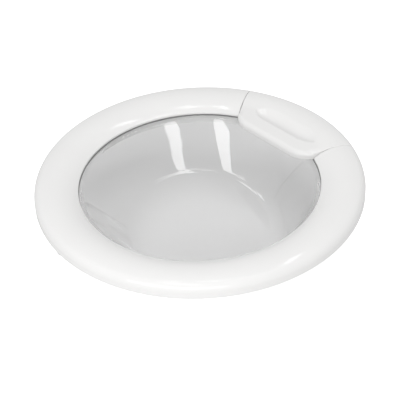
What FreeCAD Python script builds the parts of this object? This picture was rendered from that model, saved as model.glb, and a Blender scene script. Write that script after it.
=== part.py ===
import FreeCAD, Part
import math
import os
import Sketcher

# Porthole door of a front-loading washing machine, lying glass down.
# The door's axis is Z, its front faces +Z, the handle is at +X and the hinge at -X.
# Levels are counted from the plane of the front opening's edge, and every piece is lifted
# by opening_level, so that the deepest point of the glass bowl stands at Z = 0.

doc = FreeCAD.newDocument("washing_machine_door")
sheet = doc.addObject("Spreadsheet::Sheet", "Sizes")

SIZES = (
    # front ring: a domed moulding
    ("opening_radius", 167),
    ("ring_width", 60.5),
    ("crest_inset", 24.5),
    ("crest_rise", 12.5),
    ("roll_angle", 15),
    ("rim_drop", 10.5),
    ("front_wall", 3),
    ("lip_depth", 2.5),
    ("lip_round", 1.4),
    # rear ring: a dished moulding that closes the front one
    ("rear_drop", 24),
    ("rear_inset", 24.5),
    ("rear_wall", 2.5),
    ("rim_clearance", 0.7),
    ("nest_height", 5.5),
    ("clamp_width", 2.7),
    ("clamp_slant", 2.5),
    # glass bowl with its flange and slanted floor
    ("glass_wall", 5),
    ("flange_drop", 4.5),
    ("flange_lap", 17),
    ("bowl_step", 5),
    ("bowl_floor_radius", 107),
    ("bowl_floor_drop", 79),
    ("bowl_floor_shift", 11.5),
    ("bowl_floor_tilt", 16),
    ("bowl_flare", 6),
    ("bowl_fillet", 22),
    ("bowl_wall_spread", 3.5),
    ("bowl_root_fillet", 6),
    # rubber channel on the flange
    ("gasket_wall", 1.8),
    ("gasket_show", 0.6),
    ("gasket_grip", 10),
    ("seat_clearance", 0.2),
    # handle
    ("handle_half_angle", 27),
    ("seam_gap", 0.7),
    ("handle_gap", 0.3),
    ("grip_overhang", 35),
    ("grip_corner", 34),
    ("grip_rise", 9),
    ("grip_back_inset", 31.5),
    ("grip_round", 7),
    ("scoop_setback", 9.5),
    ("scoop_floor", -0.4),
    ("scoop_sweep", 40.7),
    ("scoop_bend", 184),
    ("core_margin", 4),
    ("core_roof", 4),
    # handle pivot
    ("pivot_inset", 21.5),
    ("pivot_drop", 6),
    ("pin_radius", 2.5),
    ("pin_clearance", 0.05),
    ("eye_wall", 3),
    ("handle_ear_y", 48),
    ("handle_ear_width", 5),
    ("post_gap", 0.5),
    ("post_width", 6),
    ("clip_radius", 5),
    ("clip_width", 1.2),
    ("pin_overhang", 1.6),
    # latch hook
    ("hook_width", 10),
    ("hook_arm", 9),
    ("hook_reach", 40),
    ("hook_nose", 8),
    ("hook_nose_height", 8),
    ("hook_tail", 8.5),
    ("hook_tail_height", 5),
    ("dog_gap", 0.3),
    ("dog_width", 2.7),
    ("slot_inner", 14),
    ("slot_outer", 10.5),
    ("slot_half_width", 8),
    # torsion springs on the pivot
    ("spring_wire", 1.2),
    ("spring_play", 0.3),
    ("spring_pitch", 1.6),
    ("spring_turns", 3),
    ("handle_spring_y", 26),
    ("hook_spring_y", -14.5),
    ("spring_leg_up", 13.5),
    ("spring_leg_down", 5.5),
    # screws between the rings
    ("boss_offset", 25),
    ("boss_radius", 4.5),
    ("boss_count", 8),
    ("boss_start_angle", 47.5),
    ("boss_seat_gap", 0.2),
    ("boss_top", 9.5),
    ("screw_radius", 2),
    ("screw_length", 16),
    ("screw_head_radius", 4),
    ("screw_head_height", 2.4),
    ("screw_clearance", 0.25),
    # hinge
    ("hinge_inset", 9.5),
    ("hinge_y", 15),
    ("hinge_drop", 14),
    ("hinge_pin_radius", 2.5),
    ("hinge_pin_head", 4),
    ("hinge_pin_head_height", 1.6),
    ("hinge_clip_gap", 0.3),
    ("knuckle_radius", 4),
    ("knuckle_half", 15),
    ("ear_inner", 17),
    ("hinge_sheet", 2.5),
    ("ear_radius", 5),
    ("arm_half", 3),
    ("bush_wall", 1),
    ("bush_flange", 1.6),
    ("bush_fit", 0.02),
    ("bush_flange_radius", 5),
    ("leaf_half_width", 24),
    ("leaf_start", 20),
    ("leaf_gap", 2.6),
    ("leaf_foot", 11),
    ("leaf_lap", 4),
    ("cabinet_drop", 28),
    ("cabinet_start", 12),
    ("cabinet_edge", 6.5),
    ("cabinet_end", 8),
    ("cabinet_arm", 7),
    ("bolt_radius", 2.75),
    ("bolt_sink_radius", 4.6),
    ("bolt_pitch_x", 15),
    ("bolt_pitch_y", 64),
    ("hinge_screw_pitch", 30),
    ("hinge_screw_length", 7),
    ("notch_half_width", 27),
    # how far a cut runs past the ring
    ("cut_margin", 10),
)

DERIVED = (
    ("ring_radius", "opening_radius + ring_width"),
    ("crest_radius", "ring_radius - crest_inset"),
    ("crest_arc", "((crest_radius - opening_radius)^2 + crest_rise^2) / (2 * crest_rise)"),
    ("crest_arc_in", "crest_arc - front_wall"),
    ("roll_start_r", "crest_radius + crest_arc * sin(roll_angle * 1deg)"),
    ("roll_start_z", "crest_rise - crest_arc * (1 - cos(roll_angle * 1deg))"),
    ("roll_arc", "(ring_radius - roll_start_r) / (1 - sin(roll_angle * 1deg))"),
    ("roll_arc_in", "roll_arc - front_wall"),
    ("roll_end_z", "roll_start_z - roll_arc * cos(roll_angle * 1deg)"),
    ("roll_in_r", "roll_start_r - front_wall * sin(roll_angle * 1deg)"),
    ("roll_in_z", "roll_start_z - front_wall * cos(roll_angle * 1deg)"),
    ("flank_in_r", "ring_radius - front_wall"),
    ("rim_z", "-rim_drop"),
    ("lip_z", "-lip_depth"),
    ("lip_out_r", "opening_radius + front_wall"),
    ("lip_root_z", "crest_rise - crest_arc + sqrt(crest_arc_in^2 - (crest_radius - lip_out_r)^2)"),
    ("gasket_top_z", "lip_z - seat_clearance"),
    ("gasket_in_r", "opening_radius - gasket_show"),
    ("flange_radius", "opening_radius + flange_lap"),
    ("flange_z", "-flange_drop"),
    ("flange_low_z", "flange_z - glass_wall"),
    ("gasket_low_z", "flange_low_z - gasket_wall"),
    ("gasket_in_wall_r", "flange_radius + seat_clearance"),
    ("gasket_out_r", "gasket_in_wall_r + gasket_wall"),
    ("gasket_low_r", "flange_radius - gasket_grip"),
    ("clamp_z", "gasket_low_z - seat_clearance"),
    ("clamp_in_r", "gasket_low_r + seat_clearance"),
    ("clamp_out_r", "clamp_in_r + clamp_width"),
    ("rear_radius", "ring_radius - rear_inset"),
    ("rear_z", "-rear_drop"),
    ("rear_floor_z", "rear_z + rear_wall"),
    ("rear_in_r", "clamp_in_r + clamp_slant"),
    ("rear_floor_in_r", "rear_in_r + clamp_width"),
    ("nest_r", "flank_in_r - rim_clearance"),
    ("nest_z", "rim_z + rear_wall"),
    ("nest_top_z", "rim_z + nest_height"),
    ("dish_run", "(nest_r - rear_radius) / (nest_z - rear_z)"),
    ("dish_shift", "rear_wall * sqrt(1 + dish_run^2)"),
    ("dish_in_low_r", "rear_radius + dish_run * rear_wall - dish_shift"),
    ("dish_in_top_r", "nest_r - dish_shift"),
    ("floor_z", "-bowl_floor_drop"),
    ("floor_y", "-bowl_floor_shift"),
    ("floor_low_z", "floor_z - glass_wall * cos(bowl_floor_tilt * 1deg)"),
    ("floor_low_y", "floor_y + glass_wall * sin(bowl_floor_tilt * 1deg)"),
    ("bowl_rim_radius", "opening_radius - bowl_step"),
    ("bowl_rim_out_r", "bowl_rim_radius + bowl_wall_spread"),
    ("bowl_floor_out_r", "bowl_floor_radius + bowl_wall_spread"),
    ("bowl_fillet_out", "bowl_fillet + glass_wall"),
    ("deep_y", "floor_low_y - bowl_floor_out_r * cos(bowl_floor_tilt * 1deg)"),
    ("deep_z", "floor_low_z - bowl_floor_out_r * sin(bowl_floor_tilt * 1deg)"),
    ("deep_slant", "sqrt((bowl_rim_out_r + deep_y)^2 + (flange_low_z - deep_z)^2)"),
    ("deep_wall_y", "-(bowl_rim_out_r + deep_y) / deep_slant"),
    ("deep_wall_z", "(flange_low_z - deep_z) / deep_slant"),
    ("deep_turn", "cos(bowl_floor_tilt * 1deg) * deep_wall_z"
                  " - sin(bowl_floor_tilt * 1deg) * deep_wall_y"),
    ("opening_level", "bowl_fillet_out - deep_z"
                      " - bowl_fillet_out * (sin(bowl_floor_tilt * 1deg) + deep_wall_z) / deep_turn"),
    ("handle_low_z", "gasket_top_z + handle_gap"),
    ("seam_angle", "seam_gap / ring_radius * 1rad / 1deg"),
    ("handle_side_angle", "handle_half_angle - seam_angle"),
    ("handle_angle", "2 * handle_side_angle"),
    ("grip_edge", "opening_radius - grip_overhang"),
    ("grip_shoulder_x", "opening_radius * cos(handle_side_angle * 1deg)"),
    ("shoulder_y", "opening_radius * sin(handle_side_angle * 1deg)"),
    ("grip_back_radius", "ring_radius - grip_back_inset"),
    ("grip_back_x", "grip_back_radius * cos(handle_side_angle * 1deg)"),
    ("grip_back_y", "grip_back_radius * sin(handle_side_angle * 1deg)"),
    ("grip_depth", "grip_shoulder_x - grip_edge"),
    ("grip_half_length", "shoulder_y - sqrt(2 * grip_depth * grip_corner - grip_depth^2)"),
    ("scoop_edge", "opening_radius - scoop_setback"),
    ("scoop_axis_z", "scoop_floor + scoop_sweep"),
    ("scoop_half", "sqrt(scoop_bend^2 - (scoop_bend - scoop_sweep)^2)"),
    ("core_in_x", "grip_edge + core_margin"),
    ("core_out_x", "scoop_edge - core_margin"),
    ("core_half", "grip_half_length - core_margin"),
    ("seam_cut_angle", "2 * handle_half_angle"),
    ("cut_far_r", "ring_radius + cut_margin"),
    ("cut_near_r", "opening_radius - cut_margin"),
    ("cut_high_z", "crest_rise + cut_margin"),
    ("cut_low_z", "rear_z - cut_margin"),
    ("pivot_x", "ring_radius - pivot_inset"),
    ("pivot_z", "-pivot_drop"),
    ("pivot_bore", "pin_radius + pin_clearance"),
    ("eye_radius", "pin_radius + eye_wall"),
    ("eye_top_z", "pivot_z + eye_radius"),
    ("eye_low_z", "pivot_z - eye_radius"),
    ("ear_in_x", "pivot_x - eye_radius"),
    ("ear_out_x", "pivot_x + eye_radius"),
    ("post_y", "handle_ear_y + handle_ear_width / 2 + post_gap + post_width / 2"),
    ("pin_half", "post_y + post_width / 2 + post_gap + clip_width + pin_overhang"),
    ("clip_y", "post_y + post_width / 2 + post_gap"),
    ("hook_half_arm", "hook_arm / 2"),
    ("hook_low_z", "pivot_z - hook_reach"),
    ("hook_nose_z", "hook_low_z + hook_nose_height"),
    ("hook_in_x", "pivot_x - hook_half_arm"),
    ("hook_out_x", "pivot_x + hook_half_arm"),
    ("hook_tip_x", "hook_out_x + hook_nose"),
    ("hook_tail_x", "pivot_x + hook_tail"),
    ("hook_tail_z", "pivot_z - hook_tail_height"),
    ("dog_z", "pivot_z + dog_gap"),
    ("dog_x", "hook_tail_x - dog_width"),
    ("slot_in_x", "pivot_x - slot_inner"),
    ("slot_out_x", "pivot_x + slot_outer"),
    ("spring_coil", "pin_radius + spring_play + spring_wire / 2"),
    ("boss_arc", "360 - 2 * boss_start_angle"),
    ("boss_low_z", "rear_floor_z + boss_seat_gap"),
    ("boss_ring_radius", "opening_radius + boss_offset"),
    ("boss_x", "boss_ring_radius * cos(boss_start_angle * 1deg)"),
    ("boss_y", "boss_ring_radius * sin(boss_start_angle * 1deg)"),
    ("boss_bore", "screw_radius + pin_clearance"),
    ("screw_sink", "screw_head_radius - screw_radius"),
    ("screw_bore", "screw_radius + screw_clearance"),
    ("hinge_x", "hinge_inset - ring_radius"),
    ("hinge_z", "-hinge_drop"),
    ("hinge_bore", "hinge_pin_radius + pin_clearance"),
    ("bush_radius", "hinge_bore + bush_wall"),
    ("ear_outer", "ear_inner + hinge_sheet"),
    ("ear_high_y", "hinge_y + ear_inner + hinge_sheet / 2"),
    ("ear_low_y", "hinge_y - ear_inner - hinge_sheet / 2"),
    ("arm_left_x", "hinge_x - arm_half"),
    ("arm_right_x", "hinge_x + arm_half"),
    ("arm_low_z", "hinge_z - arm_half"),
    ("arm_high_z", "hinge_z + arm_half"),
    ("tongue_low_z", "hinge_z - hinge_sheet / 2"),
    ("tongue_high_z", "hinge_z + hinge_sheet / 2"),
    ("leaf_outer_x", "hinge_x + leaf_start"),
    ("leaf_inner_x", "-rear_floor_in_r - leaf_gap"),
    ("leaf_foot_x", "hinge_x + leaf_foot"),
    ("leaf_tongue_x", "leaf_outer_x + leaf_lap"),
    ("leaf_low_y", "hinge_y - leaf_half_width"),
    ("leaf_high_y", "hinge_y + leaf_half_width"),
    ("cabinet_outer_x", "hinge_x + cabinet_start"),
    ("cabinet_inner_x", "cabinet_outer_x + bolt_pitch_x + 2 * cabinet_edge"),
    ("cabinet_arm_x", "cabinet_outer_x + cabinet_arm"),
    ("cabinet_low_y", "bolt_low_y - cabinet_end"),
    ("cabinet_high_y", "bolt_high_y + cabinet_end"),
    ("bolt_in_x", "bolt_x + bolt_pitch_x / 2"),
    ("bolt_out_x", "bolt_x - bolt_pitch_x / 2"),
    ("bolt_low_y", "hinge_y - bolt_pitch_y / 2"),
    ("bolt_high_y", "hinge_y + bolt_pitch_y / 2"),
    ("bolt_sink", "bolt_sink_radius - bolt_radius"),
    ("notch_low_y", "hinge_y - notch_half_width"),
    ("notch_high_y", "hinge_y + notch_half_width"),
    ("hinge_screw_low_y", "hinge_y - hinge_screw_pitch / 2"),
    ("hinge_screw_high_y", "hinge_y + hinge_screw_pitch / 2"),
    ("bush_outer", "bush_radius - bush_fit"),
    ("bush_high_y", "hinge_y + ear_inner - bush_flange / 2"),
    ("bush_low_y", "hinge_y - ear_inner + bush_flange / 2"),
    ("hinge_pin_half", "ear_outer + hinge_clip_gap + clip_width"),
    ("hinge_clip_y", "hinge_y - ear_outer - hinge_clip_gap"),
    ("hinge_head_y", "hinge_y + ear_outer + hinge_clip_gap + hinge_pin_head_height / 2"),
    ("leaf_low_z", "rear_floor_z + seat_clearance"),
    ("leaf_top_z", "leaf_low_z + hinge_sheet"),
    ("cabinet_z", "-cabinet_drop"),
    ("cabinet_top_z", "cabinet_z + hinge_sheet"),
    ("bolt_x", "(cabinet_outer_x + cabinet_inner_x) / 2"),
    ("hinge_screw_x", "(leaf_outer_x + leaf_inner_x) / 2"),
)


def fill_sheet():
    """Writes the driving sizes as numbers and the worked-out ones as formulas, each with its alias."""
    rows = [(name, repr(size)) for name, size in SIZES]
    rows += [(name, "=" + formula) for name, formula in DERIVED]
    for number, (name, text) in enumerate(rows, start=1):
        sheet.set("A%d" % number, name)
        sheet.setAlias("B%d" % number, name)
    for number, (name, text) in enumerate(rows, start=1):
        sheet.set("B%d" % number, text)
    doc.recompute()


def size(name):
    """The number behind a sheet name; a leading minus sign turns it round."""
    if name == "zero":
        return 0.0
    if name.startswith("-"):
        return -size(name[1:])
    found = getattr(sheet, name)
    return float(getattr(found, "Value", found))


def cell(name):
    """The same sheet name as an expression."""
    if name.startswith("-"):
        return "-Sizes." + name[1:]
    return "Sizes." + name


def new_body(label):
    body = doc.addObject("PartDesign::Body", label)
    body.Label = label
    body.setExpression("Placement.Base.z", "Sizes.opening_level")
    return body


def new_sketch(body, plane, shift=None):
    """A sketch on one of the body's own planes, moved along the plane's normal by a sheet size."""
    sketch = body.newObject("Sketcher::SketchObject", body.Label + "_sketch")
    support = [f for f in body.Origin.OriginFeatures if f.Role == plane][0]
    sketch.AttachmentSupport = [(support, "")]
    sketch.MapMode = "FlatFace"
    if shift:
        sketch.setExpression("AttachmentOffset.Base.z", cell(shift))
    return sketch


def pin_down(sketch, geometry, position, x, y):
    """Holds one point of the sketch at the sheet's x and y."""
    for kind, name in (("DistanceX", x), ("DistanceY", y)):
        if name == "zero":
            axis = -2 if kind == "DistanceX" else -1
            sketch.addConstraint(Sketcher.Constraint("PointOnObject", geometry, position, axis))
            continue
        number = sketch.addConstraint(Sketcher.Constraint(kind, -1, 1, geometry, position, size(name)))
        sketch.setExpression("Constraints[%d]" % number, cell(name))


def circle(sketch, x, y, radius):
    centre = FreeCAD.Vector(size(x), size(y), 0)
    geometry = sketch.addGeometry(Part.Circle(centre, FreeCAD.Vector(0, 0, 1), size(radius)), False)
    pin_down(sketch, geometry, 3, x, y)
    number = sketch.addConstraint(Sketcher.Constraint("Radius", geometry, size(radius)))
    sketch.setExpression("Constraints[%d]" % number, cell(radius))


def outline(sketch, corners, arcs=None):
    """A closed outline through corners, pairs of sheet names. arcs gives, for the side that starts at
    a corner's number, the sheet name of its radius and its turn: 1 counterclockwise, -1 clockwise."""
    arcs = arcs or {}
    points = [FreeCAD.Vector(size(x), size(y), 0) for x, y in corners]
    ends = []
    for number, start in enumerate(points):
        finish = points[(number + 1) % len(points)]
        if number not in arcs:
            geometry = sketch.addGeometry(Part.LineSegment(start, finish), False)
            ends.append((geometry, 1, 2))
            continue
        radius, turn = arcs[number]
        chord = finish - start
        side = FreeCAD.Vector(-chord.y, chord.x, 0) / chord.Length
        rise = math.sqrt(size(radius) ** 2 - chord.Length ** 2 / 4)
        centre = (start + finish) / 2 + side * rise * turn
        first, last = (start, finish) if turn > 0 else (finish, start)
        angles = [math.atan2(p.y - centre.y, p.x - centre.x) for p in (first, last)]
        whole = Part.Circle(centre, FreeCAD.Vector(0, 0, 1), size(radius))
        geometry = sketch.addGeometry(Part.ArcOfCircle(whole, angles[0], angles[1]), False)
        ends.append((geometry, 1, 2) if turn > 0 else (geometry, 2, 1))
        bound = sketch.addConstraint(Sketcher.Constraint("Radius", geometry, size(radius)))
        sketch.setExpression("Constraints[%d]" % bound, cell(radius))
    for number, (geometry, start, finish) in enumerate(ends):
        following = ends[(number + 1) % len(ends)]
        sketch.addConstraint(Sketcher.Constraint("Coincident", geometry, finish, following[0], following[1]))
        pin_down(sketch, geometry, start, *corners[number])


def revolve(body, sketch, angle=None):
    """Turns a sketch about the door's axis, all the way round or by a sheet angle about its own plane."""
    turned = body.newObject("PartDesign::Revolution", body.Label + "_turned")
    turned.Profile = sketch
    turned.ReferenceAxis = (sketch, ["V_Axis"])
    turned.Angle = 360
    if angle:
        turned.Midplane = True
        turned.setExpression("Angle", cell(angle))
    body.Tip = turned
    return turned


def pad(body, sketch, length, symmetric=False, back=False):
    """Thickens a sketch by an expression's length."""
    raised = body.newObject("PartDesign::Pad", body.Label + "_pad")
    raised.Profile = sketch
    raised.setExpression("Length", length)
    raised.SideType = "Symmetric" if symmetric else "One side"
    raised.Reversed = back
    body.Tip = raised
    return raised


def pocket(body, sketch, length=None, back=False):
    """Cuts a sketch through everything, or by an expression's length to one side."""
    cut = body.newObject("PartDesign::Pocket", body.Label + "_pocket")
    cut.Profile = sketch
    if length:
        cut.setExpression("Length", length)
        cut.Reversed = back
    else:
        cut.Type = "ThroughAll"
        cut.SideType = "Symmetric"
    body.Tip = cut
    return cut


def around_bosses(body, feature):
    """Repeats a feature at every screw boss, evenly over the arc that the handle leaves free."""
    pattern = body.newObject("PartDesign::PolarPattern", body.Label + "_pattern")
    pattern.Originals = [feature]
    axis = [f for f in body.Origin.OriginFeatures if f.Role == "Z_Axis"][0]
    pattern.Axis = (axis, [""])
    pattern.setExpression("Angle", "Sizes.boss_arc")
    pattern.setExpression("Occurrences", "Sizes.boss_count")
    body.Tip = pattern
    return pattern


def round_edges(body, radius, wanted):
    """Rounds the edges of the body so far that wanted(edge) picks."""
    doc.recompute()
    base = body.Tip
    names = ["Edge%d" % (n + 1) for n, edge in enumerate(base.Shape.Edges) if wanted(edge)]
    rounded = body.newObject("PartDesign::Fillet", body.Label + "_round")
    rounded.Base = (base, names)
    rounded.setExpression("Radius", cell(radius))
    body.Tip = rounded
    doc.recompute()
    return rounded


def is_ring(edge, radius, level):
    """True for a whole circle about the door's axis."""
    curve = edge.Curve
    return (isinstance(curve, Part.Circle) and abs(curve.Radius - size(radius)) < 0.01
            and abs(curve.Center.z - size(level)) < 0.01)


def groove(body, sketch, angle=None):
    """Turns a cut about the door's axis, all the way round or by a sheet angle about its own plane."""
    cut = body.newObject("PartDesign::Groove", body.Label + "_groove")
    cut.Profile = sketch
    cut.ReferenceAxis = (sketch, ["V_Axis"])
    cut.Angle = 360
    if angle:
        cut.Midplane = True
        cut.setExpression("Angle", cell(angle))
    body.Tip = cut
    return cut


def loft(body, kind, first, last):
    """Joins two sketches by straight lines, as a solid or as a cut."""
    joined = body.newObject("PartDesign::" + kind, body.Label + "_loft")
    joined.Profile = first
    joined.Sections = [last]
    joined.Ruled = True
    body.Tip = joined
    return joined


def bevel_edges(body, depth, wanted):
    """Bevels the edges of the body so far that wanted(edge) picks."""
    doc.recompute()
    base = body.Tip
    names = ["Edge%d" % (n + 1) for n, edge in enumerate(base.Shape.Edges) if wanted(edge)]
    bevelled = body.newObject("PartDesign::Chamfer", body.Label + "_bevel")
    bevelled.Base = (base, names)
    bevelled.setExpression("Size", cell(depth))
    body.Tip = bevelled
    return bevelled


def box_cut(body, x_low, x_high, y_low, y_high):
    """Cuts an upright rectangular passage right through the body."""
    sketch = new_sketch(body, "XY_Plane")
    outline(sketch, ((x_low, y_low), (x_high, y_low), (x_high, y_high), (x_low, y_high)))
    return pocket(body, sketch)


def cross_bore(body, x, z, radius, length):
    """Bores along Y, through a length that is even about the body's own middle plane."""
    sketch = new_sketch(body, "XZ_Plane")
    circle(sketch, x, z, radius)
    bored = pocket(body, sketch, length)
    bored.SideType = "Symmetric"
    return bored


def lies_at(edge, level):
    """True for an edge that stays at one level."""
    return all(abs(v.Point.z - size(level)) < 0.01 for v in edge.Vertexes)


# the round end of an eye on the handle's pivot, over its top or under its foot
EYE_TOP = {0: ("eye_radius", -1), 1: ("eye_radius", -1)}
EYE_FOOT = {0: ("eye_radius", 1), 1: ("eye_radius", 1)}
DOME_ARCS = {2: ("crest_arc_in", -1), 3: ("roll_arc_in", -1), 7: ("roll_arc", 1), 8: ("crest_arc", 1)}


def dome(sketch, foot):
    """The front ring's section: a wall that rolls over the outer rim and slopes to the opening."""
    outline(sketch, (
        ("opening_radius", foot), ("lip_out_r", foot), ("lip_out_r", "lip_root_z"),
        ("roll_in_r", "roll_in_z"), ("flank_in_r", "roll_end_z"), ("flank_in_r", "rim_z"),
        ("ring_radius", "rim_z"), ("ring_radius", "roll_end_z"), ("roll_start_r", "roll_start_z"),
        ("opening_radius", "zero")), DOME_ARCS)


def make_outer_frame():
    body = new_body("outer_frame")
    section = new_sketch(body, "XZ_Plane")
    dome(section, "lip_z")
    revolve(body, section)
    round_edges(body, "lip_round", lambda edge: is_ring(edge, "opening_radius", "zero"))
    seat = new_sketch(body, "XZ_Plane")
    outline(seat, (("cut_near_r", "cut_low_z"), ("cut_far_r", "cut_low_z"),
                   ("cut_far_r", "cut_high_z"), ("cut_near_r", "cut_high_z")))
    groove(body, seat, "seam_cut_angle")
    boss = new_sketch(body, "XY_Plane", "boss_low_z")
    circle(boss, "boss_x", "boss_y", "boss_radius")
    around_bosses(body, pad(body, boss, "Sizes.boss_top - Sizes.boss_low_z"))
    bore = new_sketch(body, "XY_Plane", "boss_low_z")
    circle(bore, "boss_x", "boss_y", "boss_bore")
    around_bosses(body, pocket(body, bore, "Sizes.screw_length", back=True))
    return body


def make_inner_frame():
    body = new_body("inner_frame")
    section = new_sketch(body, "XZ_Plane")
    outline(section, (
        ("nest_r", "nest_top_z"), ("nest_r", "nest_z"), ("rear_radius", "rear_z"), ("rear_in_r", "rear_z"),
        ("clamp_in_r", "clamp_z"), ("clamp_out_r", "clamp_z"), ("rear_floor_in_r", "rear_floor_z"),
        ("dish_in_low_r", "rear_floor_z"), ("dish_in_top_r", "nest_z"), ("dish_in_top_r", "nest_top_z")))
    revolve(body, section)
    for side in ("post_y", "-post_y"):
        post = new_sketch(body, "XZ_Plane", side)
        outline(post, (("ear_in_x", "pivot_z"), ("pivot_x", "eye_top_z"), ("ear_out_x", "pivot_z"),
                       ("ear_out_x", "rear_z"), ("ear_in_x", "rear_z")), EYE_TOP)
        pad(body, post, "Sizes.post_width", symmetric=True)
    outside = new_sketch(body, "XZ_Plane")
    outline(outside, (("nest_r", "nest_z"), ("rear_radius", "rear_z"), ("rear_radius", "cut_low_z"),
                      ("cut_far_r", "cut_low_z"), ("cut_far_r", "nest_z")))
    groove(body, outside)
    cross_bore(body, "pivot_x", "pivot_z", "pivot_bore", "2 * Sizes.post_y + 2 * Sizes.post_width")
    box_cut(body, "slot_in_x", "slot_out_x", "-slot_half_width", "slot_half_width")
    box_cut(body, "-cut_far_r", "leaf_outer_x", "notch_low_y", "notch_high_y")
    bore = new_sketch(body, "XY_Plane")
    circle(bore, "boss_x", "boss_y", "screw_bore")
    around_bosses(body, pocket(body, bore))
    hinge_bores = new_sketch(body, "XY_Plane")
    for y in ("hinge_screw_low_y", "hinge_screw_high_y"):
        circle(hinge_bores, "hinge_screw_x", y, "screw_bore")
    pocket(body, hinge_bores)
    bevel_edges(body, "screw_sink", lambda edge: (
        isinstance(edge.Curve, Part.Circle) and lies_at(edge, "rear_z")
        and abs(edge.Curve.Center.x - size("hinge_screw_x")) < 0.01
        and edge.Curve.Radius < size("boss_radius")))
    return body


def bowl_circles(body, rim_level, rim, floor_y, floor_z, floor):
    """The bowl's upper circle, level, and its lower one, on the slanted floor."""
    upper = new_sketch(body, "XY_Plane", rim_level)
    circle(upper, "zero", "zero", rim)
    lower = new_sketch(body, "XY_Plane")
    lower.AttachmentOffset = FreeCAD.Placement(
        FreeCAD.Vector(), FreeCAD.Rotation(FreeCAD.Vector(1, 0, 0), size("bowl_floor_tilt")))
    lower.setExpression("AttachmentOffset.Base.y", cell(floor_y))
    lower.setExpression("AttachmentOffset.Base.z", cell(floor_z))
    lower.setExpression("AttachmentOffset.Rotation.Angle", cell("bowl_floor_tilt"))
    circle(lower, "zero", "zero", floor)
    return upper, lower


def on_floor(edge, level, shift):
    """True for an edge that lies in the bowl's slanted floor."""
    slope = math.tan(math.radians(size("bowl_floor_tilt")))
    ends = [edge.valueAt(edge.FirstParameter + part * (edge.LastParameter - edge.FirstParameter))
            for part in (0.1, 0.4, 0.8)]
    return all(abs(p.z - size(level) - slope * (p.y - size(shift))) < 0.05 for p in ends)


def make_door_glass():
    body = new_body("door_glass")
    loft(body, "AdditiveLoft", *bowl_circles(body, "flange_low_z", "bowl_rim_out_r",
                                             "floor_low_y", "floor_low_z", "bowl_floor_out_r"))
    flange = new_sketch(body, "XY_Plane", "flange_low_z")
    circle(flange, "zero", "zero", "flange_radius")
    pad(body, flange, "Sizes.glass_wall")
    loft(body, "SubtractiveLoft", *bowl_circles(body, "flange_z", "bowl_rim_radius",
                                                "floor_y", "floor_z", "bowl_floor_radius"))
    round_edges(body, "bowl_fillet", lambda edge: on_floor(edge, "floor_z", "floor_y"))
    round_edges(body, "bowl_fillet_out", lambda edge: on_floor(edge, "floor_low_z", "floor_low_y"))
    round_edges(body, "bowl_flare", lambda edge: is_ring(edge, "bowl_rim_radius", "flange_z"))
    round_edges(body, "bowl_root_fillet", lambda edge: is_ring(edge, "bowl_rim_out_r", "flange_low_z"))
    return body


def make_glass_gasket():
    body = new_body("glass_gasket")
    section = new_sketch(body, "XZ_Plane")
    outline(section, (
        ("gasket_in_r", "gasket_top_z"), ("gasket_in_r", "flange_z"), ("gasket_in_wall_r", "flange_z"),
        ("gasket_in_wall_r", "flange_low_z"), ("gasket_low_r", "flange_low_z"),
        ("gasket_low_r", "gasket_low_z"), ("gasket_out_r", "gasket_low_z"), ("gasket_out_r", "gasket_top_z")))
    revolve(body, section)
    return body


def cut_scoop(body):
    """The finger scoop: a bow turned a quarter about the grip's inner edge, so that its floor is deepest
    under that edge and rises gently to the ring's crest and to both ends."""
    bow = new_sketch(body, "XY_Plane", "scoop_axis_z")
    bow.setExpression("AttachmentOffset.Base.x", cell("scoop_edge"))
    outline(bow, (("zero", "-scoop_half"), ("zero", "scoop_half")), {0: ("scoop_bend", 1)})
    cut = groove(body, bow)
    cut.Angle = 90
    return cut


def make_handle():
    body = new_body("handle")
    grip = new_sketch(body, "XY_Plane", "handle_low_z")
    outline(grip, (
        ("grip_edge", "grip_half_length"), ("grip_edge", "-grip_half_length"),
        ("grip_shoulder_x", "-shoulder_y"), ("grip_back_x", "-grip_back_y"),
        ("grip_back_x", "grip_back_y"), ("grip_shoulder_x", "shoulder_y")),
        {1: ("grip_corner", 1), 3: ("grip_back_radius", 1), 5: ("grip_corner", 1)})
    pad(body, grip, "Sizes.grip_rise - Sizes.handle_low_z")
    round_edges(body, "grip_round", lambda edge: (
        lies_at(edge, "grip_rise") and edge.CenterOfMass.x < size("grip_back_x")))
    section = new_sketch(body, "XZ_Plane")
    dome(section, "handle_low_z")
    revolve(body, section, "handle_angle")
    cut_scoop(body)
    core = new_sketch(body, "XY_Plane", "handle_low_z")
    outline(core, (("core_in_x", "-core_half"), ("core_out_x", "-core_half"),
                   ("core_out_x", "core_half"), ("core_in_x", "core_half")))
    pocket(body, core, "Sizes.grip_rise - Sizes.handle_low_z - Sizes.core_roof", back=True)
    for side in ("handle_ear_y", "-handle_ear_y"):
        ear = new_sketch(body, "XZ_Plane", side)
        outline(ear, (("ear_in_x", "pivot_z"), ("pivot_x", "eye_low_z"), ("ear_out_x", "pivot_z"),
                      ("ear_out_x", "boss_top"), ("ear_in_x", "boss_top")), EYE_FOOT)
        pad(body, ear, "Sizes.handle_ear_width", symmetric=True)
    dog = new_sketch(body, "XZ_Plane")
    outline(dog, (("dog_x", "dog_z"), ("hook_tail_x", "dog_z"),
                  ("hook_tail_x", "grip_rise"), ("dog_x", "grip_rise")))
    pad(body, dog, "Sizes.hook_width", symmetric=True)
    cross_bore(body, "pivot_x", "pivot_z", "pivot_bore", "2 * Sizes.handle_ear_y + 2 * Sizes.handle_ear_width")
    return body


def make_handle_pin():
    body = new_body("handle_pin")
    section = new_sketch(body, "XZ_Plane")
    circle(section, "pivot_x", "pivot_z", "pin_radius")
    pad(body, section, "2 * Sizes.pin_half", symmetric=True)
    return body


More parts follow.
